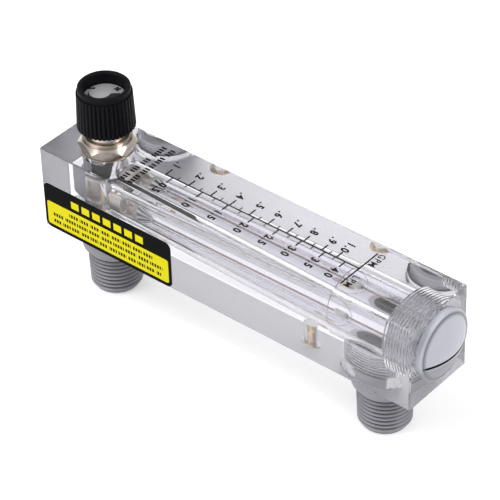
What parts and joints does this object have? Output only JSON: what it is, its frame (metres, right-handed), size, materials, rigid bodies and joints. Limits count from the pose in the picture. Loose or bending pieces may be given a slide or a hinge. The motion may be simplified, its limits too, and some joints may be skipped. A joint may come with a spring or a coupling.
{
  "type": "rotameter",
  "caption": "Clear acrylic panel rotameter for liquids with a tapered bore, guided float, needle valve with a fluted knob and threaded ports on the back.",
  "frame": {"origin": "midway between the two panel inserts, on the back face of the block", "axes": "+X along the bore from the inlet and valve end to the outlet and plug end, +Z out of the scale face, -Y towards the side with the label"},
  "size_m": [0.1794, 0.0327, 0.0906],
  "materials": {
    "clear_acrylic": "polished clear acrylic",
    "gray_plastic": "moulded satin",
    "seal_rubber": "matt",
    "stainless_steel": "turned",
    "white_plastic": "machined",
    "insert_brass": "turned",
    "nickel_plate": "bright nickel plate",
    "black_plastic": "satin moulded",
    "silver_dial": "satin printed",
    "label_film": "printed film"
  },
  "bodies": {
    "meter": {"acrylic_body": "clear_acrylic", "end_plug": "gray_plastic", "end_plug_o_ring": "seal_rubber", "inlet_fitting": "gray_plastic", "outlet_fitting": "gray_plastic", "inlet_fitting_o_ring": "seal_rubber", "outlet_fitting_o_ring": "seal_rubber", "guide_rod": "stainless_steel", "lower_float_stop": "stainless_steel", "upper_float_stop": "white_plastic", "valve_seat": "insert_brass", "valve_bonnet": "nickel_plate", "bonnet_o_ring": "seal_rubber", "stem_guide_bush": "white_plastic", "retaining_clip": "stainless_steel", "mounting_inserts": "insert_brass", "side_label": "label_film"},
    "stem_seals": {"stem_o_rings": "seal_rubber"},
    "knob": {"control_knob": "black_plastic", "knob_dial": "silver_dial", "knob_screw": "stainless_steel", "valve_stem": "stainless_steel"},
    "float": {"float": "stainless_steel"}
  },
  "joints": [
    {"name": "valve_lift", "type": "slide", "parent": "meter", "child": "stem_seals", "axis": [0, 0, 1], "range_m": [0, 0.004]},
    {"name": "knob_turn", "type": "hinge", "parent": "stem_seals", "child": "knob", "pos_m": [-0.065, 0, 0.05], "axis": [0, 0, 1], "range_deg": [0, 1440]},
    {"name": "float_slide", "type": "slide", "parent": "meter", "child": "float", "axis": [1, 0, 0], "range_m": [0, 0.084]}
  ],
  "couplings": [
    {"joint": "valve_lift", "follows": "knob_turn", "m_per_rad": 0.00015915}
  ]
}
